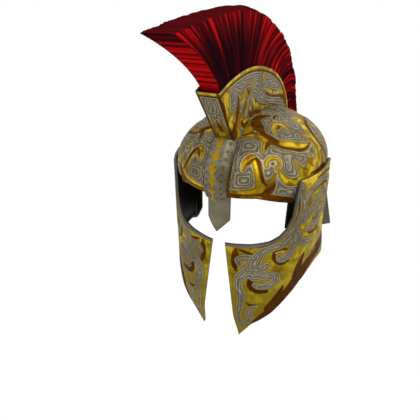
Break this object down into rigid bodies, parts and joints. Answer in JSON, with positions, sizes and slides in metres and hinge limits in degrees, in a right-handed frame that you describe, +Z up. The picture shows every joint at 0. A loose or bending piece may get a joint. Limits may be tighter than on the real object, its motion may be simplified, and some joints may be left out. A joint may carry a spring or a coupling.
{
  "type": "roman helmet",
  "caption": "Crested ancient-style metal helmet with scroll-worked skull, brow band, pointed nasal guard, long cheek guards, flared neck plates and a tall brush plume in a crest box.",
  "frame": {"origin": "inside of the crown on the middle line, where the top of the wearer's head would be", "axes": "+Z up, -Y the way the wearer faces, +X the wearer's left; symmetric about X = 0"},
  "size_m": [0.2496, 0.4101, 0.4711],
  "materials": {
    "gilded": "aged gilding with engraved silver-grey scroll panels and brown patina",
    "silvered": "dull silver-grey with small gold ornaments",
    "dark_steel": "dull dark steel, plain",
    "hair": "dyed red hair with dark strands"
  },
  "bodies": {
    "root": {"skull": "gilded", "crest_box": "gilded", "cheek_guard_left": "gilded", "cheek_guard_right": "gilded", "brow_band": "silvered", "nasal_guard": "dark_steel", "neck_plate_left": "dark_steel", "neck_plate_right": "dark_steel", "plume": "hair"}
  },
  "joints": []
}
